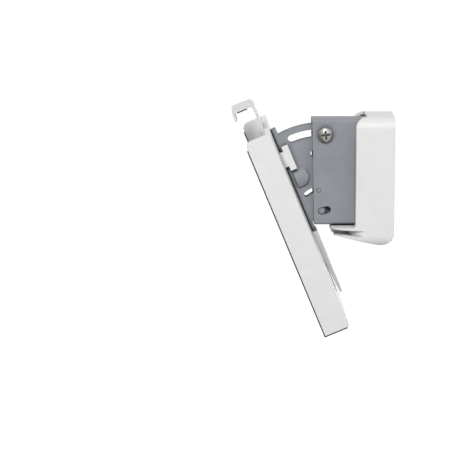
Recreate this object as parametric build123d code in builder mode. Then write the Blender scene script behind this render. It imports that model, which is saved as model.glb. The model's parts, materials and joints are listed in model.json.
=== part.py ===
from build123d import *
import os
from math import cos, radians, sin, sqrt, tan

os.makedirs("parts", exist_ok=True)

# Wall bracket for a small loudspeaker, in millimetres and degrees.
# The origin lies on the wall, X runs across, -Y points into the room and Z points up.

# Clearances
fixed_fit = 0.03  # radial, between pieces that don't move on each other
running_fit = 0.08  # radial, between a pin and the piece that turns on it
face_gap = 0.05  # between flat faces that slide on each other
moulding_gap = 0.6  # between the moulded cover and the steel inside it

# Swivel bracket, a sleeve folded from steel sheet
sheet = 2.0
sleeve_width = 23.0
sleeve_bend = 2.4
sleeve_front_top = 67.7
sleeve_front_bottom = 65.5
sleeve_entry = 2.0  # how far the side plates reach in behind the cover's front
tongue_radius = 10.0

# Wall cover
cover_width = 50.0
cover_depth = 31.9
cover_bottom = -54.0
cover_wall = 2.5
cover_corner = 10.0  # corners seen from the front
cover_brow = 9.5  # upper front edge seen from the side
cover_opening = 34.0
cover_throat = 2.5  # between the front edge and the toe
heel_radius = 11.0
toe_reach = 51.7
toe_tip = 5.3
toe_nose = 1.2
toe_corner = 7.0  # corners seen from above
underside_slope = 14.4
groove_roof = 1.0
groove_fall = 2.0  # of its roof towards the wall
groove_height = 4.6
groove_end = 23.5
groove_depth = 14.0

# Wall plate
plate_thickness = 3.0
plate_corner = 5.0
rebate_depth = 1.6
rebate_width = 2.6
barb_length = 12.0
barb_spacing = 40.0
lug_thickness = 2.5
wall_hole = 5.4
wall_hole_across = 28.0
wall_hole_upright = 48.0

# Swivel pin and bolt
swivel_depth = 22.0
swivel_diameter = 8.0
swivel_washer = 1.0
swivel_washer_diameter = 18.0
swivel_pin_proud = 0.3
swivel_head_height = 4.6
swivel_hex = 13.0
swivel_spring = 1.2
swivel_flat = 1.2
swivel_nut_height = 6.5
swivel_thread_proud = 1.5

# Tilt pivot, clamp and stop
pivot_out = 59.5
pivot_height = -25.3
tilt = 22.5  # lean into the room at rest
tilt_pin_diameter = 6.0
tilt_pin_recess = 0.8
tilt_spacer_diameter = 9.0
pivot_slot_shift = 4.8
pivot_slot_slope = 12.0
clip_thickness = 0.8
clip_diameter = 11.0
clip_groove = 0.5
clip_mouth = 3.6
clamp_radius = 64.6
clamp_lean = 2.5  # from the pivot's upright towards the wall
clamp_diameter = 6.0
clamp_hole = 6.4
clamp_head_diameter = 12.0
clamp_head_height = 3.7
clamp_dome = 2.2
clamp_recess_depth = 3.0
clamp_recess_width = 1.6
clamp_recess_span = 7.4
clamp_recess_turn = 8.0
clamp_washer_thickness = 1.2
clamp_washer_diameter = 12.6
clamp_tube_diameter = 9.0
clamp_spacer_diameter = 12.0
clamp_hex = 10.0
clamp_nut_height = 6.0
clamp_thread_proud = 1.2
stop_radius = 17.7
stop_lean = 8.4  # from the pivot's upright into the room
stop_diameter = 3.8
stop_edge = 0.4

# Tilt bracket, a folded channel with two slotted ears
ear_gap = 4.5  # between an ear and the sleeve's side
ear_rim = 4.5  # beyond the clamp slot
ear_headroom = 2.3  # between the ears and the sleeve's top sheet
ear_footroom = 0.4  # between the ears and the sleeve's bottom sheet
ear_span = 35.0
ear_boss = 9.3
ear_boss_start = 218.0
web_offset = 14.0  # from the pivot to the web's outer face
web_bottom = -13.4
web_top = 78.0
web_bend = 2.4
web_flank = 3.4  # depth of the bends below the boss
flank_slant = 0.8  # more depth where they meet the boss
flank_rise = 1.9  # height over which it is gained
web_strip = 4.4  # left between the lug windows
relief_offset = 9.3
clamp_slot = 7.0
clamp_slot_span = 28.5
stop_slot = 4.4
stop_slot_span = 42.0
spare_hole = 7.0
spare_hole_out = 12.8
spare_hole_up = 45.9
tab_left = -9.8
tab_right = 0.3
tab_top = 39.2
tab_bottom = 24.8
tab_bulge = 3.4
tab_lip = 1.8
tab_round = 6.0
tab_window = 0.3

# Speaker holder, a moulded tray
holder_width = 110.0
holder_depth = 21.8
holder_top = 83.5
holder_bottom = -90.0
holder_back = 4.0
holder_side = 4.0
holder_heel = 2.0
holder_corner = 5.0
holder_foot = 2.0
rib_offset = 27.0
rib_thickness = 2.5
rib_height = 5.0
rib_low = -66.0
rib_middle = -24.0
rib_high = 20.0
boss_diameter = 9.0
boss_height = 7.0
lug_bottom = 44.9
lug_top = 58.0
lug_neck = 3.2
lug_head = 5.6
lug_overhang = 4.2
lug_side = 0.5
tongue_width = 24.0
tongue_proud = 4.4
tongue_end = -70.0
tongue_tip = 2.0
tongue_root = -36.0
speaker_hole = 5.2
speaker_hole_across = 70.0
speaker_hole_level = -45.0

# Screws of the holder and of its hook
web_screw_low = 4.0
web_screw_high = 34.0
web_screw = 3.0
web_screw_reach = 9.0
web_head_diameter = 5.0
web_head_height = 2.0
hook_screw_level = 68.0
hook_screw_across = 24.0
hook_screw = 4.0
hook_head_diameter = 8.0
hook_head_height = 2.6

# Top hook and pads
hook_width = 36.0
hook_sheet = 2.0
hook_bottom = 58.0
hook_top = 106.5
hook_reach = 37.5
hook_lip = 9.0
hook_bend = 4.5
hook_pad_thickness = 1.2
hook_pad_margin = 2.0
side_pad_thickness = 1.0
side_pad_margin = 7.0

# Levels and places that follow from the sizes above
pivot_y = -pivot_out
swivel_y = -swivel_depth
sleeve_half = sleeve_width / 2
sleeve_inner = sleeve_half - sheet
ear_outer = sleeve_inner - ear_gap
ear_inner = ear_outer - sheet
ear_radius = clamp_radius + clamp_slot / 2 + ear_rim
sleeve_top = pivot_height + ear_radius + ear_headroom + sheet
sleeve_bottom = pivot_height - ear_boss - ear_footroom - sheet
clamp_y = pivot_y + clamp_radius * sin(radians(clamp_lean))
clamp_z = pivot_height + clamp_radius * cos(radians(clamp_lean))
stop_y = pivot_y - stop_radius * sin(radians(stop_lean))
stop_z = pivot_height + stop_radius * cos(radians(stop_lean))
cover_top = sleeve_top + moulding_gap + cover_wall
upper_lug_top = sleeve_top - sheet - swivel_washer
lower_lug_bottom = sleeve_bottom + sheet + swivel_washer
plate_width = cover_width - 2 * cover_wall - 2 * moulding_gap
plate_height = upper_lug_top - lower_lug_bottom
plate_middle = (upper_lug_top + lower_lug_bottom) / 2
toe_top = sleeve_bottom - moulding_gap
toe_bottom = toe_top - toe_tip
slope = tan(radians(underside_slope))
back_face = -web_offset
tray_floor = back_face - holder_back
tray_front = back_face - holder_depth


def tilted(out, up, across=0.0):
    """Point of the tilting half, from its distances behind and above the pivot."""
    lean = radians(tilt)
    y = pivot_y + out * cos(lean) - up * sin(lean)
    z = pivot_height + out * sin(lean) + up * cos(lean)
    return Vector(across, y, z)


# Directions of the tilting half, and the planes that its profiles lie on
upward = tilted(0, 1) - tilted(0, 0)
rearward = tilted(1, 0) - tilted(0, 0)
tilt_side = Plane(origin=tilted(0, 0), x_dir=rearward, z_dir=(1, 0, 0))


def tilt_level(up):
    """Plane across the holder at a height above the pivot, with axes X and rearward."""
    return Plane(origin=tilted(0, up), x_dir=(1, 0, 0), z_dir=upward)


def tilt_face(out):
    """Plane along the holder at a distance behind the pivot, with axes X and upward."""
    return Plane(origin=tilted(out, 0), x_dir=(1, 0, 0), z_dir=rearward * -1)


def cross_plane(x):
    """Plane square to the tilt axis, with axes Y and Z."""
    return Plane.YZ.offset(x)


# Wall plate: flat back, rebated edges for the cover's barbs, two swivel lugs
with BuildPart() as wall_plate:
    with BuildSketch(Plane.XZ):
        with Locations((0, plate_middle)):
            RectangleRounded(plate_width, plate_height, plate_corner)
            with GridLocations(wall_hole_across, wall_hole_upright, 2, 2):
                Circle(wall_hole / 2, mode=Mode.SUBTRACT)
    extrude(amount=plate_thickness)
    with BuildSketch(Plane.XZ):
        with Locations((0, plate_middle)):
            Rectangle(plate_width, plate_height)
            Rectangle(plate_width - 2 * rebate_width, plate_height, mode=Mode.SUBTRACT)
    extrude(amount=rebate_depth, mode=Mode.SUBTRACT)
    for lug_level in (lower_lug_bottom, upper_lug_top - lug_thickness):
        with BuildSketch(Plane.XY.offset(lug_level)):
            with Locations((0, swivel_y / 2)):
                Rectangle(2 * tongue_radius, swivel_depth)
            with Locations((0, swivel_y)):
                Circle(tongue_radius)
                Circle(swivel_diameter / 2 + fixed_fit, mode=Mode.SUBTRACT)
        extrude(amount=lug_thickness)
wall_plate.part.label = "wall_plate"
export_step(wall_plate.part, "parts/wall_plate.step")


def cover_inset(inset):
    """Side outline of the cover without its toe, drawn a wall's thickness further in."""
    front = -(cover_depth - inset)
    lift = inset / cos(radians(underside_slope))
    front_low = toe_bottom - slope * (toe_reach + front) + lift
    back_low = toe_bottom - slope * toe_reach + lift
    corners = [(0, back_low), (0, cover_top - inset), (front, cover_top - inset), (front, front_low)]
    return FilletPolyline(*corners, radius=[heel_radius, 0, cover_brow - inset, 0], close=True)


def cover_front(inset):
    """Front outline of the cover, drawn a wall's thickness further in."""
    side = cover_width / 2 - inset
    low, high = cover_bottom + inset, cover_top - inset
    corners = [(-side, low), (side, low), (side, high), (-side, high)]
    return FilletPolyline(*corners, radius=cover_corner - inset, close=True)


# Inside of the wall cover
with BuildPart() as cover_core:
    with BuildSketch(Plane.YZ):
        with BuildLine():
            cover_inset(cover_wall)
        make_face()
    extrude(amount=cover_width, both=True)
    with BuildSketch(Plane.XZ):
        with BuildLine():
            cover_front(cover_wall)
        make_face()
    extrude(amount=cover_depth, mode=Mode.INTERSECT)

# Cable grooves in both sides of the toe, deepest at its tip and fading out towards the wall
with BuildPart() as toe_grooves:
    groove_top = toe_top - groove_roof
    groove_start = -toe_reach - toe_nose
    with BuildSketch(Plane.YZ):
        with BuildLine():
            Polyline(
                (groove_start, groove_top),
                (-groove_end, groove_top - groove_fall),
                (-groove_end, groove_top - groove_fall - groove_height),
                (groove_start, groove_top - groove_height),
                close=True,
            )
        make_face()
    extrude(amount=cover_width, both=True)
    with BuildSketch(Plane.XY):
        with BuildLine():
            groove_wall = cover_width / 2 - groove_depth
            fade = CenterArc((groove_wall, -groove_end), groove_depth, 0, -90)
            tip_corners = [(groove_wall, groove_start), (cover_width, groove_start)]
            Polyline(fade @ 1, *tip_corners, (cover_width, -groove_end), fade @ 0)
        make_face()
        mirror(about=Plane.YZ)
    extrude(amount=2 * toe_bottom, mode=Mode.INTERSECT)

# Wall cover: moulded shell with an open front, a grooved toe and four barbs
with BuildPart() as wall_cover:
    with BuildSketch(Plane.YZ):
        with BuildLine():
            heel = toe_bottom - slope * toe_reach
            FilletPolyline(
                (0, heel),
                (0, cover_top),
                (-cover_depth, cover_top),
                (-cover_depth, toe_top),
                (-toe_reach, toe_top),
                (-toe_reach, toe_bottom),
                radius=[heel_radius, 0, cover_brow, cover_throat, toe_nose, toe_nose],
                close=True,
            )
        make_face()
    extrude(amount=cover_width / 2, both=True)
    with BuildSketch(Plane.XZ):
        with BuildLine():
            cover_front(0)
        make_face()
    extrude(amount=toe_reach, mode=Mode.INTERSECT)
    with BuildSketch(Plane.XY.offset(cover_bottom)):
        with BuildLine():
            FilletPolyline(
                (-cover_width / 2, 0),
                (-cover_width / 2, -toe_reach),
                (cover_width / 2, -toe_reach),
                (cover_width / 2, 0),
                radius=[0, toe_corner, toe_corner, 0],
                close=True,
            )
        make_face()
    extrude(amount=cover_top - cover_bottom, mode=Mode.INTERSECT)
    add(cover_core.part, mode=Mode.SUBTRACT)
    add(toe_grooves.part, mode=Mode.SUBTRACT)
    with BuildSketch(Plane.XZ.offset(cover_depth - cover_brow)):
        with Locations((0, (cover_top + cover_wall + toe_top) / 2)):
            Rectangle(cover_opening, cover_top + cover_wall - toe_top)
    extrude(amount=cover_brow + cover_throat, mode=Mode.SUBTRACT)
    barb_back = moulding_gap / 2
    barb_front = rebate_depth - 3 * face_gap
    barb_reach = rebate_width - moulding_gap / 2
    for side in (-1, 1):
        inner_face = side * (cover_width / 2 - cover_wall)
        with BuildSketch(Plane.XY.offset(plate_middle - barb_spacing / 2 - barb_length / 2)):
            with BuildLine():
                Polyline(
                    (inner_face + side * moulding_gap, -barb_front),
                    (inner_face - side * barb_reach, -barb_front),
                    (inner_face + side * moulding_gap, -barb_back),
                    close=True,
                )
            make_face()
        extrude(amount=barb_length)
        with BuildSketch(Plane.XY.offset(plate_middle + barb_spacing / 2 - barb_length / 2)):
            with BuildLine():
                Polyline(
                    (inner_face + side * moulding_gap, -barb_front),
                    (inner_face - side * barb_reach, -barb_front),
                    (inner_face + side * moulding_gap, -barb_back),
                    close=True,
                )
            make_face()
        extrude(amount=barb_length)
wall_cover.part.label = "wall_cover"
export_step(wall_cover.part, "parts/wall_cover.step")

# Upper swivel pin, set in the top lug
with BuildPart() as swivel_pin:
    with BuildSketch(Plane.XY.offset(upper_lug_top - lug_thickness)):
        with Locations((0, swivel_y)):
            Circle(swivel_diameter / 2)
    extrude(amount=lug_thickness + swivel_washer + sheet + swivel_pin_proud)
    chamfer(swivel_pin.faces().sort_by(Axis.Z)[-1].edges(), swivel_pin_proud)
swivel_pin.part.label = "swivel_pin"
export_step(swivel_pin.part, "parts/swivel_pin.step")

# Lower swivel bolt with its hexagon head below
head_top = sleeve_bottom - face_gap - swivel_spring
nut_seat = lower_lug_bottom + lug_thickness + swivel_flat
with BuildPart() as swivel_bolt:
    with BuildSketch(Plane.XY.offset(head_top)):
        with Locations((0, swivel_y)):
            RegularPolygon(swivel_hex / 2, 6, major_radius=False)
    extrude(amount=-swivel_head_height)
    with BuildSketch(Plane.XY.offset(head_top)):
        with Locations((0, swivel_y)):
            Circle(swivel_diameter / 2)
    extrude(amount=nut_seat + swivel_nut_height + swivel_thread_proud - head_top)
    chamfer(swivel_bolt.faces().sort_by(Axis.Z)[-1].edges(), swivel_thread_proud / 2)
swivel_bolt.part.label = "swivel_bolt"
export_step(swivel_bolt.part, "parts/swivel_bolt.step")


def ring(plane, spot, outer, inner):
    """Ring-shaped profile on a plane."""
    with BuildSketch(plane) as profile:
        with Locations(spot):
            Circle(outer / 2)
            Circle(inner / 2, mode=Mode.SUBTRACT)
    return profile.sketch


def discs(plane, spots, diameter):
    """Round profiles on a plane."""
    with BuildSketch(plane) as profile:
        with Locations(*spots):
            Circle(diameter / 2)
    return profile.sketch


swivel_spot = (0, swivel_y)
swivel_bore = swivel_diameter + 2 * fixed_fit
with BuildPart() as swivel_spring_washer:
    extrude(ring(Plane.XY.offset(head_top), swivel_spot, swivel_hex, swivel_bore), amount=swivel_spring)
swivel_spring_washer.part.label = "swivel_spring_washer"
export_step(swivel_spring_washer.part, "parts/swivel_spring_washer.step")

with BuildPart() as swivel_washer_upper:
    upper_ring = ring(Plane.XY.offset(upper_lug_top), swivel_spot, swivel_washer_diameter, swivel_bore)
    extrude(upper_ring, amount=swivel_washer - face_gap)
swivel_washer_upper.part.label = "swivel_washer_upper"
export_step(swivel_washer_upper.part, "parts/swivel_washer_upper.step")

with BuildPart() as swivel_washer_lower:
    lower_ring = ring(Plane.XY.offset(lower_lug_bottom), swivel_spot, swivel_washer_diameter, swivel_bore)
    extrude(lower_ring, amount=face_gap - swivel_washer)
swivel_washer_lower.part.label = "swivel_washer_lower"
export_step(swivel_washer_lower.part, "parts/swivel_washer_lower.step")

with BuildPart() as swivel_nut_washer:
    seat_ring = ring(Plane.XY.offset(nut_seat), swivel_spot, swivel_washer_diameter, swivel_bore)
    extrude(seat_ring, amount=-swivel_flat)
swivel_nut_washer.part.label = "swivel_nut_washer"
export_step(swivel_nut_washer.part, "parts/swivel_nut_washer.step")

with BuildPart() as swivel_nut:
    with BuildSketch(Plane.XY.offset(nut_seat)):
        with Locations((0, swivel_y)):
            RegularPolygon(swivel_hex / 2, 6, major_radius=False)
            Circle(swivel_bore / 2, mode=Mode.SUBTRACT)
    extrude(amount=swivel_nut_height)
swivel_nut.part.label = "swivel_nut"
export_step(swivel_nut.part, "parts/swivel_nut.step")

# Swivel bracket: folded sleeve with a tongue above and below on the swivel axis
sleeve_rear = cover_depth - sleeve_entry
slot_run = pivot_slot_shift * cos(radians(pivot_slot_slope))
slot_rise = pivot_slot_shift * sin(radians(pivot_slot_slope))
with BuildPart() as swivel_bracket:
    with BuildSketch(Plane.XZ.offset(sleeve_rear)):
        with Locations((0, (sleeve_top + sleeve_bottom) / 2)):
            RectangleRounded(sleeve_width, sleeve_top - sleeve_bottom, sleeve_bend)
            RectangleRounded(
                sleeve_width - 2 * sheet,
                sleeve_top - sleeve_bottom - 2 * sheet,
                sleeve_bend - sheet,
                mode=Mode.SUBTRACT,
            )
    extrude(amount=max(sleeve_front_top, sleeve_front_bottom) - sleeve_rear)
    with BuildSketch(Plane.YZ):
        with BuildLine():
            Polyline(
                (-sleeve_rear, sleeve_bottom),
                (-sleeve_rear, sleeve_top),
                (-sleeve_front_top, sleeve_top),
                (-sleeve_front_bottom, sleeve_bottom),
                close=True,
            )
        make_face()
    extrude(amount=sleeve_width, both=True, mode=Mode.INTERSECT)
    tongue_length = sleeve_rear - swivel_depth
    for tongue_level in (sleeve_bottom, sleeve_top - sheet):
        with BuildSketch(Plane.XY.offset(tongue_level)):
            with Locations((0, swivel_y - tongue_length / 2)):
                Rectangle(2 * tongue_radius, tongue_length)
            with Locations((0, swivel_y)):
                Circle(tongue_radius)
                Circle(swivel_diameter / 2 + running_fit, mode=Mode.SUBTRACT)
        extrude(amount=sheet)
    with BuildSketch(Plane.YZ):
        with Locations((clamp_y, clamp_z)):
            Circle(clamp_hole / 2)
        with Locations((stop_y, stop_z)):
            Circle(stop_diameter / 2 + fixed_fit)
        with Locations((pivot_y + slot_run / 2, pivot_height + slot_rise / 2)):
            pivot_slot = tilt_pin_diameter + 2 * fixed_fit
            SlotCenterToCenter(pivot_slot_shift, pivot_slot, rotation=pivot_slot_slope)
    extrude(amount=sleeve_width, both=True, mode=Mode.SUBTRACT)
swivel_bracket.part.label = "swivel_bracket"
export_step(swivel_bracket.part, "parts/swivel_bracket.step")

# Tilt pin with a groove for a clip behind each ear
pin_half = sleeve_half - tilt_pin_recess
clip_seat = ear_inner - face_gap
with BuildPart() as tilt_pin:
    with BuildSketch(cross_plane(-pin_half)):
        with Locations((pivot_y, pivot_height)):
            Circle(tilt_pin_diameter / 2)
    extrude(amount=2 * pin_half)
    chamfer(tilt_pin.faces().filter_by(Axis.X).edges(), clip_groove)
    for groove_start in (-clip_seat, clip_seat - clip_thickness):
        with BuildSketch(cross_plane(groove_start)):
            with Locations((pivot_y, pivot_height)):
                Circle(tilt_pin_diameter)
                Circle(tilt_pin_diameter / 2 - clip_groove, mode=Mode.SUBTRACT)
        extrude(amount=clip_thickness, mode=Mode.SUBTRACT)
tilt_pin.part.label = "tilt_pin"
export_step(tilt_pin.part, "parts/tilt_pin.step")

with BuildPart() as tilt_pin_clips:
    for clip_start in (-clip_seat + face_gap, clip_seat - clip_thickness + face_gap):
        with BuildSketch(cross_plane(clip_start)):
            with Locations((pivot_y, pivot_height)):
                Circle(clip_diameter / 2)
                Circle(tilt_pin_diameter / 2 - clip_groove + fixed_fit, mode=Mode.SUBTRACT)
            with Locations((pivot_y, pivot_height - clip_diameter / 2)):
                Rectangle(clip_mouth, clip_diameter, mode=Mode.SUBTRACT)
        extrude(amount=clip_thickness - 2 * face_gap)
tilt_pin_clips.part.label = "tilt_pin_clips"
export_step(tilt_pin_clips.part, "parts/tilt_pin_clips.step")


# Stop pin that runs in the ears' short slots
with BuildPart() as stop_pin:
    extrude(discs(cross_plane(-sleeve_half), [(stop_y, stop_z)], stop_diameter), amount=sleeve_width)
    chamfer(stop_pin.faces().filter_by(Axis.X).edges(), stop_edge)
stop_pin.part.label = "stop_pin"
export_step(stop_pin.part, "parts/stop_pin.step")

pivot_spot = (pivot_y, pivot_height)
clamp_spot = (clamp_y, clamp_z)
clamp_bore = clamp_diameter + 2 * fixed_fit
with BuildPart() as tilt_pin_spacers:
    for side in (-1, 1):
        spacer_seat = cross_plane(side * sleeve_inner)
        pin_ring = ring(spacer_seat, pivot_spot, tilt_spacer_diameter, tilt_pin_diameter + 2 * fixed_fit)
        extrude(pin_ring, amount=side * (face_gap - ear_gap))
tilt_pin_spacers.part.label = "tilt_pin_spacers"
export_step(tilt_pin_spacers.part, "parts/tilt_pin_spacers.step")

with BuildPart() as clamp_spacers:
    for side in (-1, 1):
        clamp_ring = ring(cross_plane(side * sleeve_inner), clamp_spot, clamp_spacer_diameter, clamp_bore)
        extrude(clamp_ring, amount=side * (face_gap - ear_gap))
clamp_spacers.part.label = "clamp_spacers"
export_step(clamp_spacers.part, "parts/clamp_spacers.step")

# Clamp screw: domed pan head with a cross recess, through both sides
head_seat = sleeve_half + clamp_washer_thickness
screw_end = head_seat + clamp_nut_height + clamp_thread_proud
clamp_axis = Axis((0, clamp_y, clamp_z), (1, 0, 0))
with BuildPart() as clamp_screw:
    with BuildSketch(Plane(origin=(0, clamp_y, clamp_z), x_dir=(1, 0, 0), z_dir=(0, -1, 0))):
        with BuildLine():
            head_edge = (head_seat, clamp_head_diameter / 2)
            head_rim = (head_seat + clamp_head_height - clamp_dome, clamp_head_diameter / 2)
            head_crown = (head_seat + clamp_head_height, 0)
            dome_radius = (clamp_head_diameter**2 / 4 + clamp_dome**2) / (2 * clamp_dome)
            Polyline((-screw_end, 0), (-screw_end, clamp_diameter / 2), (head_seat, clamp_diameter / 2))
            Polyline((head_seat, clamp_diameter / 2), head_edge, head_rim)
            RadiusArc(head_rim, head_crown, dome_radius)
            Line(head_crown, (-screw_end, 0))
        make_face()
    revolve(axis=clamp_axis)
    with BuildSketch(cross_plane(head_seat + clamp_head_height)):
        with Locations((clamp_y, clamp_z)):
            Rectangle(clamp_recess_span, clamp_recess_width, rotation=clamp_recess_turn)
            Rectangle(clamp_recess_width, clamp_recess_span, rotation=clamp_recess_turn)
    extrude(amount=-clamp_recess_depth, mode=Mode.SUBTRACT)
clamp_screw.part.label = "clamp_screw"
export_step(clamp_screw.part, "parts/clamp_screw.step")


with BuildPart() as clamp_washer:
    near_ring = ring(cross_plane(sleeve_half), clamp_spot, clamp_washer_diameter, clamp_bore)
    extrude(near_ring, amount=clamp_washer_thickness)
clamp_washer.part.label = "clamp_washer"
export_step(clamp_washer.part, "parts/clamp_washer.step")

with BuildPart() as clamp_tube:
    tube_ring = ring(cross_plane(0), clamp_spot, clamp_tube_diameter, clamp_bore)
    extrude(tube_ring, amount=ear_inner - face_gap, both=True)
clamp_tube.part.label = "clamp_tube"
export_step(clamp_tube.part, "parts/clamp_tube.step")

with BuildPart() as clamp_nut_washer:
    far_ring = ring(cross_plane(-sleeve_half), clamp_spot, clamp_washer_diameter, clamp_bore)
    extrude(far_ring, amount=-clamp_washer_thickness)
clamp_nut_washer.part.label = "clamp_nut_washer"
export_step(clamp_nut_washer.part, "parts/clamp_nut_washer.step")

with BuildPart() as clamp_nut:
    with BuildSketch(cross_plane(-head_seat)):
        with Locations((clamp_y, clamp_z)):
            RegularPolygon(clamp_hex / 2, 6, major_radius=False)
            Circle(clamp_bore / 2, mode=Mode.SUBTRACT)
    extrude(amount=-clamp_nut_height)
clamp_nut.part.label = "clamp_nut"
export_step(clamp_nut.part, "parts/clamp_nut.step")

# Bowed tab lanced out of an ear, trimmed to a rounded outline
with BuildPart() as ear_tab:
    tab_middle = (tab_top + tab_bottom) / 2
    with BuildSketch(Plane(origin=tilted(tab_left, 0), x_dir=(1, 0, 0), z_dir=rearward)):
        with BuildLine():
            crown = (ear_outer + tab_bulge, -tab_middle)
            hollow = (ear_inner + tab_bulge, -tab_middle)
            outer_bow = ThreePointArc((ear_outer, -tab_top), crown, (ear_outer + tab_lip, -tab_bottom))
            inner_bow = ThreePointArc((ear_inner, -tab_top), hollow, (ear_inner + tab_lip, -tab_bottom))
            Line(outer_bow @ 0, inner_bow @ 0)
            Line(outer_bow @ 1, inner_bow @ 1)
        make_face()
    extrude(amount=tab_right - tab_left)
    with BuildSketch(tilt_side):
        with BuildLine():
            FilletPolyline(
                (tab_left, tab_top),
                (tab_right, tab_top),
                (tab_right, tab_bottom),
                (tab_left, tab_bottom),
                radius=[0, 0, tab_round, 0],
                close=True,
            )
        make_face()
    extrude(amount=sleeve_width, mode=Mode.INTERSECT)

# Tilt bracket: channel section trimmed to the ears' outline, then pierced
relief_top = sqrt(ear_radius**2 - relief_offset**2)
boss_corner = (ear_boss * cos(radians(ear_boss_start)), ear_boss * sin(radians(ear_boss_start)))
ear_end = (ear_radius * sin(radians(ear_span)), ear_radius * cos(radians(ear_span)))
web_screw_spots = [(0, web_screw_low), (0, web_screw_high)]
with BuildPart() as tilt_bracket:
    with BuildSketch(tilt_level(web_bottom)):
        with BuildLine():
            FilletPolyline(
                (-ear_outer, ear_radius),
                (-ear_outer, back_face),
                (ear_outer, back_face),
                (ear_outer, ear_radius),
                radius=web_bend,
            )
            Line((ear_outer, ear_radius), (ear_inner, ear_radius))
            FilletPolyline(
                (ear_inner, ear_radius),
                (ear_inner, back_face + sheet),
                (-ear_inner, back_face + sheet),
                (-ear_inner, ear_radius),
                radius=web_bend - sheet,
            )
            Line((-ear_inner, ear_radius), (-ear_outer, ear_radius))
        make_face()
    extrude(amount=web_top - web_bottom)
    with BuildSketch(tilt_side):
        with BuildLine():
            Polyline(
                (-relief_offset, relief_top),
                (-relief_offset, web_top),
                (back_face, web_top),
                (back_face, web_bottom),
                (back_face + web_flank, web_bottom),
                (back_face + web_flank, boss_corner[1] - flank_rise),
                (back_face + web_flank + flank_slant, boss_corner[1]),
                boss_corner,
            )
            CenterArc((0, 0), ear_boss, ear_boss_start, 360 - ear_boss_start)
            Line((ear_boss, 0), ear_end)
            RadiusArc(ear_end, (-relief_offset, relief_top), -ear_radius)
        make_face()
    extrude(amount=sleeve_width, both=True, mode=Mode.INTERSECT)
    with BuildSketch(tilt_side):
        Circle(tilt_pin_diameter / 2 + running_fit)
        with BuildLine(mode=Mode.PRIVATE):
            clamp_path = CenterArc((0, 0), clamp_radius, 90 - clamp_slot_span, clamp_slot_span)
            stop_path = CenterArc((0, 0), stop_radius, 90 - stop_slot_span / 2, stop_slot_span)
        SlotArc(clamp_path, clamp_slot)
        SlotArc(stop_path, stop_slot)
        with Locations((spare_hole_out, spare_hole_up)):
            Circle(spare_hole / 2)
        with BuildLine():
            FilletPolyline(
                (tab_left, tab_top),
                (tab_right + tab_window, tab_top),
                (tab_right + tab_window, tab_bottom - tab_window),
                (tab_left, tab_bottom - tab_window),
                radius=[0, 0, tab_round + tab_window, 0],
                close=True,
            )
        make_face()
    extrude(amount=sleeve_width, both=True, mode=Mode.SUBTRACT)
    # Windows across the bends for the holder's lugs
    window_depth = lug_neck + moulding_gap / 2
    with BuildSketch(tilt_side):
        with Locations((back_face + window_depth / 2, (lug_top + lug_bottom) / 2)):
            Rectangle(window_depth, lug_top - lug_bottom + moulding_gap)
    extrude(amount=sleeve_width, both=True, mode=Mode.SUBTRACT)
    with BuildSketch(tilt_face(back_face + sheet)):
        with Locations((0, (lug_top + lug_bottom) / 2)):
            Rectangle(web_strip, lug_top - lug_bottom + 2 * moulding_gap)
    extrude(amount=sheet)
    with BuildSketch(tilt_face(back_face)):
        with Locations(*web_screw_spots):
            Circle(web_screw / 2 + fixed_fit)
    extrude(amount=-sheet, mode=Mode.SUBTRACT)
    add(ear_tab.part)
    mirror(ear_tab.part, about=Plane.YZ)
tilt_bracket.part.label = "tilt_bracket"
export_step(tilt_bracket.part, "parts/tilt_bracket.step")

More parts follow.
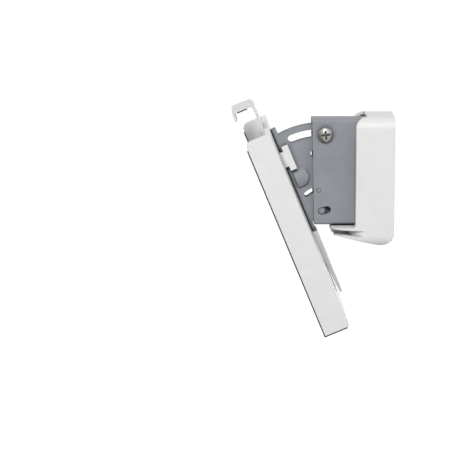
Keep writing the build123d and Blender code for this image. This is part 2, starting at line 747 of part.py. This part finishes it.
# Speaker holder: tray with ribs, screw bosses, side lugs and a rear cable tongue
with BuildPart() as speaker_holder:
    with BuildSketch(tilt_level(holder_bottom)):
        with BuildLine():
            FilletPolyline(
                (-holder_width / 2, tray_front),
                (-holder_width / 2, back_face),
                (holder_width / 2, back_face),
                (holder_width / 2, tray_front),
                radius=holder_heel,
            )
            Polyline(
                (holder_width / 2, tray_front),
                (holder_width / 2 - holder_side, tray_front),
                (holder_width / 2 - holder_side, tray_floor),
                (holder_side - holder_width / 2, tray_floor),
                (holder_side - holder_width / 2, tray_front),
                (-holder_width / 2, tray_front),
            )
        make_face()
    extrude(amount=holder_top - holder_bottom)
    with BuildSketch(tilt_side):
        with BuildLine():
            FilletPolyline(
                (tray_front, holder_top),
                (back_face, holder_top),
                (back_face, holder_bottom),
                (tray_front, holder_bottom),
                radius=[holder_corner, 0, holder_foot, 0],
                close=True,
            )
        make_face()
    extrude(amount=holder_width, both=True, mode=Mode.INTERSECT)
    # Ribs on the tray's floor
    rib_length = hook_bottom - holder_bottom - 2 * holder_corner
    with BuildSketch(tilt_face(tray_floor)):
        with Locations((0, holder_bottom + holder_corner + rib_length / 2)):
            with GridLocations(2 * rib_offset, 0, 2, 1):
                Rectangle(rib_thickness, rib_length)
        with Locations((0, rib_low), (0, rib_middle), (0, rib_high)):
            Rectangle(holder_width - holder_side, rib_thickness)
    extrude(amount=rib_height)
    # Screw bosses
    with BuildSketch(tilt_face(tray_floor)):
        with Locations(*web_screw_spots):
            Circle(boss_diameter / 2)
    extrude(amount=boss_height)
    with BuildSketch(tilt_face(back_face)):
        with Locations(*web_screw_spots):
            Circle(web_screw / 2 + fixed_fit)
    extrude(amount=web_screw_reach, mode=Mode.SUBTRACT)
    with BuildSketch(tilt_face(back_face)):
        with Locations((0, hook_screw_level)):
            with GridLocations(hook_screw_across, 0, 2, 1):
                Circle(hook_screw / 2 + fixed_fit)
        with Locations((0, speaker_hole_level)):
            with GridLocations(speaker_hole_across, 0, 2, 1):
                Circle(speaker_hole / 2)
    extrude(amount=holder_back, mode=Mode.SUBTRACT)
    # Lugs through the windows of the tilt bracket, hooked over the ears' outer faces
    neck_inner = web_strip / 2 + moulding_gap
    lug_outer = sleeve_inner - lug_side
    lug_inner = ear_outer + moulding_gap / 4
    lug_middle = (lug_top + lug_bottom) / 2
    for side in (-1, 1):
        with BuildSketch(tilt_face(back_face)):
            with Locations((side * (neck_inner + lug_outer) / 2, lug_middle)):
                Rectangle(lug_outer - neck_inner, lug_top - lug_bottom)
        extrude(amount=-lug_neck)
        with BuildSketch(tilt_face(back_face + lug_neck)):
            with Locations((side * (lug_inner + lug_outer) / 2, lug_middle)):
                Rectangle(lug_outer - lug_inner, lug_top - lug_bottom + 2 * lug_overhang)
        extrude(amount=-lug_head)
    # Cable tongue below the tilt bracket, free at its lower end
    tongue_top = web_bottom - moulding_gap
    tongue_face = back_face + tongue_proud
    with BuildSketch(tilt_side):
        with BuildLine():
            FilletPolyline(
                (back_face, tongue_top),
                (tongue_face, tongue_top),
                (tongue_face, tongue_end),
                (tongue_face - tongue_tip, tongue_end),
                (back_face, tongue_root),
                radius=[0, tongue_tip / 2, tongue_tip * 0.45, tongue_tip * 0.45, 0],
                close=True,
            )
        make_face()
    extrude(amount=tongue_width / 2, both=True)
speaker_holder.part.label = "speaker_holder"
export_step(speaker_holder.part, "parts/speaker_holder.step")


# Pan-head screws through the channel's web into the tray
with BuildPart() as holder_screws:
    screw_seat = tilt_face(back_face + sheet)
    extrude(discs(screw_seat, web_screw_spots, web_head_diameter), amount=-web_head_height)
    extrude(discs(screw_seat, web_screw_spots, web_screw), amount=web_screw_reach)
holder_screws.part.label = "holder_screws"
export_step(holder_screws.part, "parts/holder_screws.step")

# Top hook: strap that stands on the tray's floor, bends forward and ends in a lip
hook_seat = tray_floor
hook_tip = -hook_reach
with BuildPart() as top_hook:
    with BuildSketch(tilt_side):
        with BuildLine():
            FilletPolyline(
                (hook_seat, hook_bottom),
                (hook_seat, hook_top),
                (hook_tip, hook_top),
                (hook_tip, hook_top - hook_lip),
                (hook_tip + hook_sheet, hook_top - hook_lip),
                (hook_tip + hook_sheet, hook_top - hook_sheet),
                (hook_seat - hook_sheet, hook_top - hook_sheet),
                (hook_seat - hook_sheet, hook_bottom),
                radius=[0, hook_bend, hook_bend / 2, 0, 0, 0, hook_bend - hook_sheet, 0],
                close=True,
            )
        make_face()
    extrude(amount=hook_width / 2, both=True)
    with BuildSketch(tilt_face(hook_seat)):
        with Locations((0, hook_screw_level)):
            with GridLocations(hook_screw_across, 0, 2, 1):
                Circle(hook_screw / 2 + fixed_fit)
    extrude(amount=hook_sheet, mode=Mode.SUBTRACT)
top_hook.part.label = "top_hook"
export_step(top_hook.part, "parts/top_hook.step")

with BuildPart() as hook_screws:
    strap_face = tilt_face(hook_seat - hook_sheet)
    hook_spots = [(side * hook_screw_across / 2, hook_screw_level) for side in (-1, 1)]
    extrude(discs(strap_face, hook_spots, hook_head_diameter), amount=hook_head_height)
    extrude(discs(strap_face, hook_spots, hook_screw), amount=-hook_sheet - holder_back)
hook_screws.part.label = "hook_screws"
export_step(hook_screws.part, "parts/hook_screws.step")

# Rubber pad under the hook's bridge
with BuildPart() as hook_pad:
    pad_front = hook_tip + hook_sheet + hook_pad_margin
    pad_rear = hook_seat - hook_bend - hook_pad_margin
    pad_top = hook_top - hook_sheet
    with BuildSketch(tilt_side):
        with BuildLine():
            Polyline(
                (pad_front, pad_top),
                (pad_rear, pad_top),
                (pad_rear, pad_top - hook_pad_thickness),
                (pad_front, pad_top - hook_pad_thickness),
                close=True,
            )
        make_face()
    extrude(amount=hook_width / 2 - hook_pad_margin, both=True)
hook_pad.part.label = "hook_pad"
export_step(hook_pad.part, "parts/hook_pad.step")

# Rubber strips along the tray's front edges, turned under their lower ends
with BuildPart() as side_pads:
    strip_top = holder_top - side_pad_margin
    strip_low = holder_bottom - side_pad_thickness
    strip_face = tray_front - side_pad_thickness
    for side in (-1, 1):
        with BuildSketch(tilt_side.offset(side * (holder_width - holder_side) / 2)):
            with BuildLine():
                Polyline(
                    (tray_front, strip_top),
                    (tray_front, holder_bottom),
                    (back_face - holder_foot, holder_bottom),
                    (back_face - holder_foot, strip_low),
                    (strip_face, strip_low),
                    (strip_face, strip_top),
                    close=True,
                )
            make_face()
        extrude(amount=holder_side / 2, both=True)
side_pads.part.label = "side_pads"
export_step(side_pads.part, "parts/side_pads.step")
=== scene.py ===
"""Materials, stage, light and camera for the speaker wall bracket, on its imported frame."""
import json
import math

import bpy
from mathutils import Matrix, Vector


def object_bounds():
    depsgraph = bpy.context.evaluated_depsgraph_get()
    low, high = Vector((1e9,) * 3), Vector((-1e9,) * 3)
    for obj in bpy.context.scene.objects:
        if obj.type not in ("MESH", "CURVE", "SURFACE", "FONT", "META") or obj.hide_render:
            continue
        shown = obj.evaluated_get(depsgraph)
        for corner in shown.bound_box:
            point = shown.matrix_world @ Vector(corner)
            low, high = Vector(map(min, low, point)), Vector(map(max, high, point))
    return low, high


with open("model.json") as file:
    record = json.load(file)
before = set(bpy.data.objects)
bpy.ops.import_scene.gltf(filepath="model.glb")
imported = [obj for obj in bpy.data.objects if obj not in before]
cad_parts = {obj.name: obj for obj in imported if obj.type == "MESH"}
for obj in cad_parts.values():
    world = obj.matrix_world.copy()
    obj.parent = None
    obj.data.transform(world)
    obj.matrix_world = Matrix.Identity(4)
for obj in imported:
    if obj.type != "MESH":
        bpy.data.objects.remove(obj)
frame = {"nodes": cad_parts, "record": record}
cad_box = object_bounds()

# Colours, as linear red, green and blue
WHITE_PLASTIC = (0.80, 0.80, 0.805)
WHITE_PLASTIC_WARM = (0.775, 0.77, 0.765)
WHITE_PAINT = (0.70, 0.70, 0.71)
WHITE_PAINT_DULL = (0.66, 0.66, 0.67)
GREY_COAT = (0.305, 0.316, 0.343)
GREY_COAT_DARK = (0.272, 0.283, 0.310)
PLATE_ZINC = (0.46, 0.47, 0.49)
PLATE_ZINC_DULL = (0.38, 0.39, 0.41)
SCREW_STEEL = (0.38, 0.365, 0.35)
SCREW_STEEL_DULL = (0.28, 0.27, 0.257)
NYLON = (0.70, 0.69, 0.64)
NYLON_SHADE = (0.64, 0.63, 0.58)
BLACK_NYLON = (0.024, 0.024, 0.027)
BLACK_NYLON_WORN = (0.036, 0.036, 0.039)
RUBBER = (0.020, 0.020, 0.022)
RUBBER_DUST = (0.034, 0.034, 0.036)
WHITE = (1.0, 1.0, 1.0, 1.0)

# Grain, shared by all finishes
NOISE_MIDDLE = (0.3, 0.7)
EVEN = (1.0, 1.0, 1.0)
COLOUR_PATCH = 25  # size of the colour's patches, in grains
COLOUR_DETAIL = 2.0
GRAIN_DETAIL = 3.0
GRAIN_HEIGHT = 0.15  # in grains
# Samples of the shade painted into crevices
PAINTED_SHADE_SAMPLES = 8

# Finishes: colours, roughness, grains in a metre, strength of relief, and lengths in metres, among them
# the reach of shade painted into crevices
MOULDING = dict(
    colours=(WHITE_PLASTIC, WHITE_PLASTIC_WARM), rough=(0.42, 0.56), grain=2200, relief=0.10,
    # Painted shade: the colour darkens within this reach of other faces
    edge=0.001, painted_shade_reach=0.0035,
)
FINISHES = {
    "white_moulding": MOULDING,
    # Painted shade: the tray's colour darkens within a longer reach towards its foot, so its lower
    # parts look shaded
    "tray_moulding_painted_shade": dict(MOULDING, low_painted_shade_reach=0.016),
    "white_metal": dict(
        colours=(WHITE_PAINT, WHITE_PAINT_DULL), rough=(0.34, 0.48), grain=1100, relief=0.12,
    ),
    "grey_steel": dict(
        colours=(GREY_COAT, GREY_COAT_DARK), rough=(0.48, 0.62), grain=1300, relief=0.18,
        # Painted shade in crevices, within this reach
        shine=0.2, painted_shade_reach=0.004,
    ),
    "plate_steel": dict(
        colours=(PLATE_ZINC, PLATE_ZINC_DULL), rough=(0.30, 0.50), grain=500, relief=0.10,
        metallic=0.8,
    ),
    "zinc_steel": dict(
        colours=(SCREW_STEEL, SCREW_STEEL_DULL), rough=(0.20, 0.38), grain=900, relief=0.08,
        # Painted shade in the screw recesses and crevices, within this reach
        metallic=1.0, stretch=(3.0, 1.0, 1.0), painted_shade_reach=0.005,
    ),
    "nylon": dict(colours=(NYLON, NYLON_SHADE), rough=(0.45, 0.60), grain=1500, relief=0.08),
    "dark_nylon": dict(
        colours=(BLACK_NYLON, BLACK_NYLON_WORN), rough=(0.45, 0.60), grain=1500, relief=0.08,
    ),
    "dark_rubber": dict(colours=(RUBBER, RUBBER_DUST), rough=(0.70, 0.90), grain=1600, relief=0.30),
}

# Node with a finish apart from its slot's, which carries more painted shade, and the heights between
# which its painted shade grows downwards
NODE_FINISHES = {"speaker_holder": "tray_moulding_painted_shade"}
LOW_PAINTED_SHADE_HEIGHTS = (-0.060, -0.030)

# Camera: the photograph's direction, scale and framing, in degrees, metres and pixels
CAMERA_AZIMUTH = 89.0
CAMERA_ELEVATION = 10.6
CAMERA_DISTANCE = 2.0
CAMERA_AIM = (0.0125, -0.1400, -0.0367)
IMAGE_SIDE = 450
FOCAL_PIXELS = 2400
SENSOR = 36.0  # millimetres

# Stage, in metres
FLOOR_DROP = 0.4
FLOOR_SIDE = 60.0
FLOOR_COLOUR = (0.66, 0.66, 0.66)
FLOOR_ROUGHNESS = 0.9
FLOOR_GLOW = 0.84
LIT_FLOOR_GLOW = 0.5
LIT_FLOOR_REACH = (0.7, 1.5)
WORLD_LIGHT = 0.2

# Lamps: place from the bracket's middle, side of the square and power in watts
LAMPS = {
    "key": ((1.4, -0.15, 1.15), 0.6, 23.0),
    "fill": ((1.2, 0.9, 0.6), 0.9, 2.5),
    "room": ((-0.3, -1.6, 0.5), 0.9, 12.0),
    "rear": ((-1.3, 1.2, 0.3), 0.9, 14.0),
}


def principled(name):
    """New node material with its shader."""
    material = bpy.data.materials.new(name)
    material.use_nodes = True
    return material, material.node_tree.nodes, material.node_tree.links


def object_place(nodes):
    """Place on the object, in metres."""
    return nodes.new("ShaderNodeTexCoord").outputs["Object"]


def ramp(nodes, links, value, source, target):
    """Maps one range of values to another."""
    node = nodes.new("ShaderNodeMapRange")
    node.inputs["From Min"].default_value, node.inputs["From Max"].default_value = source
    node.inputs["To Min"].default_value, node.inputs["To Max"].default_value = target
    links.new(value, node.inputs["Value"])
    return node.outputs["Result"]


def combine(nodes, links, operation, first, second):
    """Joins two values by a named operation."""
    node = nodes.new("ShaderNodeMath")
    node.operation = operation
    links.new(first, node.inputs[0])
    links.new(second, node.inputs[1])
    return node.outputs["Value"]


def noise(nodes, links, scale, detail, stretch=EVEN):
    """Noise laid through the object in metres, stretched along its axes."""
    mapping = nodes.new("ShaderNodeMapping")
    mapping.inputs["Scale"].default_value = stretch
    links.new(object_place(nodes), mapping.inputs["Vector"])
    texture = nodes.new("ShaderNodeTexNoise")
    texture.inputs["Scale"].default_value = scale
    texture.inputs["Detail"].default_value = detail
    links.new(mapping.outputs["Vector"], texture.inputs["Vector"])
    return texture.outputs["Fac"]


def tint(nodes, links, factor, first, second):
    """Mixes two colours by a noise."""
    mix = nodes.new("ShaderNodeMix")
    mix.data_type = "RGBA"
    mix.inputs["A"].default_value = (*first, 1.0)
    mix.inputs["B"].default_value = (*second, 1.0)
    links.new(ramp(nodes, links, factor, NOISE_MIDDLE, (0.0, 1.0)), mix.inputs["Factor"])
    return mix.outputs["Result"]


def by_height(nodes, links, heights, values):
    """Value that goes from the first to the second between two heights."""
    parts = nodes.new("ShaderNodeSeparateXYZ")
    links.new(object_place(nodes), parts.inputs["Vector"])
    return ramp(nodes, links, parts.outputs["Z"], heights, values)


def paint_crevice_shade(nodes, links, colour, reach, low_painted_shade_reach):
    """Paints shade into a colour where other faces stand closer than the reach, or the low reach
    further down.
    """
    painted_shade_node = nodes.new("ShaderNodeAmbientOcclusion")
    painted_shade_node.samples = PAINTED_SHADE_SAMPLES
    painted_shade_node.inputs["Distance"].default_value = reach
    if low_painted_shade_reach:
        varied_painted_shade_reach = by_height(nodes, links, LOW_PAINTED_SHADE_HEIGHTS, (low_painted_shade_reach, reach))
        links.new(varied_painted_shade_reach, painted_shade_node.inputs["Distance"])
    links.new(colour, painted_shade_node.inputs["Color"])
    return painted_shade_node.outputs["Color"]


def surface(name, colours, rough, grain, relief, metallic=0.0, stretch=EVEN, edge=0.0003,
            shine=0.5, painted_shade_reach=0.0, low_painted_shade_reach=0.0):
    """Material whose colour, gloss and relief vary at the grain's scale, with softened edges and, where
    a reach is given, shade painted into its crevices.
    """
    material, nodes, links = principled(name)
    shader = nodes["Principled BSDF"]
    shader.inputs["Metallic"].default_value = metallic
    shader.inputs["Specular IOR Level"].default_value = shine
    broad = noise(nodes, links, grain / COLOUR_PATCH, COLOUR_DETAIL)
    colour = tint(nodes, links, broad, *colours)
    # Painted shade: the colour darkens where other faces stand near, as in a crevice's shadow
    if painted_shade_reach:
        colour = paint_crevice_shade(nodes, links, colour, painted_shade_reach, low_painted_shade_reach)
    links.new(colour, shader.inputs["Base Color"])
    fine = noise(nodes, links, grain, GRAIN_DETAIL, stretch)
    links.new(ramp(nodes, links, fine, NOISE_MIDDLE, rough), shader.inputs["Roughness"])
    soft_edge = nodes.new("ShaderNodeBevel")
    soft_edge.inputs["Radius"].default_value = edge
    bump = nodes.new("ShaderNodeBump")
    bump.inputs["Strength"].default_value = relief
    bump.inputs["Distance"].default_value = GRAIN_HEIGHT / grain
    links.new(fine, bump.inputs["Height"])
    links.new(soft_edge.outputs["Normal"], bump.inputs["Normal"])
    links.new(bump.outputs["Normal"], shader.inputs["Normal"])
    return material


def paint_nodes():
    """Gives every CAD node its own finish or else its slot's."""
    materials = {name: surface(name, **finish) for name, finish in FINISHES.items()}
    for entry in frame["record"]["subparts"]:
        node = frame["nodes"][entry["node"]]
        node.data.materials.clear()
        finish = NODE_FINISHES.get(entry["node"], entry["material_slot"])
        node.data.materials.append(materials[finish])


def view_direction(azimuth, elevation):
    """Direction that a camera at this azimuth and elevation looks along."""
    a, e = math.radians(azimuth), math.radians(elevation)
    return Vector((-math.sin(a) * math.cos(e), math.cos(a) * math.cos(e), -math.sin(e)))


def turned_along(direction):
    """Rotation that points a camera or a lamp along a direction."""
    return direction.to_track_quat("-Z", "Y").to_euler()


def add_camera():
    """Long lens at the photograph's angle."""
    data = bpy.data.cameras.new("camera")
    data.sensor_width = SENSOR
    data.lens = SENSOR * FOCAL_PIXELS / IMAGE_SIDE
    camera = bpy.data.objects.new("camera", data)
    look = view_direction(CAMERA_AZIMUTH, CAMERA_ELEVATION)
    camera.location = Vector(CAMERA_AIM) - look * CAMERA_DISTANCE
    camera.rotation_euler = turned_along(look)
    bpy.context.collection.objects.link(camera)
    bpy.context.scene.camera = camera


def seen_directly(nodes, links):
    """1 for rays from the camera, from gloss or through glass, 0 for light on surfaces."""
    path = nodes.new("ShaderNodeLightPath")
    total = path.outputs["Is Camera Ray"]
    for name in ("Is Glossy Ray", "Is Transmission Ray"):
        total = combine(nodes, links, "MAXIMUM", total, path.outputs[name])
    return total


def add_world():
    """Even white surround, dimmer as light than as background."""
    world = bpy.data.worlds.new("studio")
    world.use_nodes = True
    bpy.context.scene.world = world
    nodes, links = world.node_tree.nodes, world.node_tree.links
    background = nodes["Background"]
    background.inputs["Color"].default_value = WHITE
    strength = ramp(nodes, links, seen_directly(nodes, links), (0.0, 1.0), (WORLD_LIGHT, 1.0))
    links.new(strength, background.inputs["Strength"])


def floor_material():
    """Pale floor that glows white where it is seen, and less where the lamps light it."""
    material, nodes, links = principled("floor")
    shader = nodes["Principled BSDF"]
    shader.inputs["Base Color"].default_value = (*FLOOR_COLOUR, 1.0)
    shader.inputs["Roughness"].default_value = FLOOR_ROUGHNESS
    shader.inputs["Emission Color"].default_value = WHITE
    reach = nodes.new("ShaderNodeVectorMath")
    reach.operation = "LENGTH"
    links.new(object_place(nodes), reach.inputs[0])
    level = ramp(nodes, links, reach.outputs["Value"], LIT_FLOOR_REACH, (LIT_FLOOR_GLOW, FLOOR_GLOW))
    glow = combine(nodes, links, "MULTIPLY", seen_directly(nodes, links), level)
    links.new(glow, shader.inputs["Emission Strength"])
    return material


def add_floor():
    """Plain floor below the bracket."""
    low = cad_box[0].z - FLOOR_DROP
    half = FLOOR_SIDE / 2
    corners = [(-half, -half, low), (half, -half, low), (half, half, low), (-half, half, low)]
    mesh = bpy.data.meshes.new("floor")
    mesh.from_pydata(corners, [], [(0, 1, 2, 3)])
    mesh.materials.append(floor_material())
    floor = bpy.data.objects.new("floor", mesh)
    bpy.context.collection.objects.link(floor)


def add_lamps():
    """Soft key on the camera's side from above, and weaker lamps from the room and from behind."""
    middle = (cad_box[0] + cad_box[1]) / 2
    for name, (offset, side, power) in LAMPS.items():
        data = bpy.data.lights.new(name, "AREA")
        data.shape = "SQUARE"
        data.size = side
        data.energy = power
        lamp = bpy.data.objects.new(name, data)
        lamp.location = middle + Vector(offset)
        lamp.rotation_euler = turned_along(-Vector(offset))
        bpy.context.collection.objects.link(lamp)


paint_nodes()
add_world()
add_floor()
add_lamps()
add_camera()
bpy.context.scene.view_settings.view_transform = "Standard"
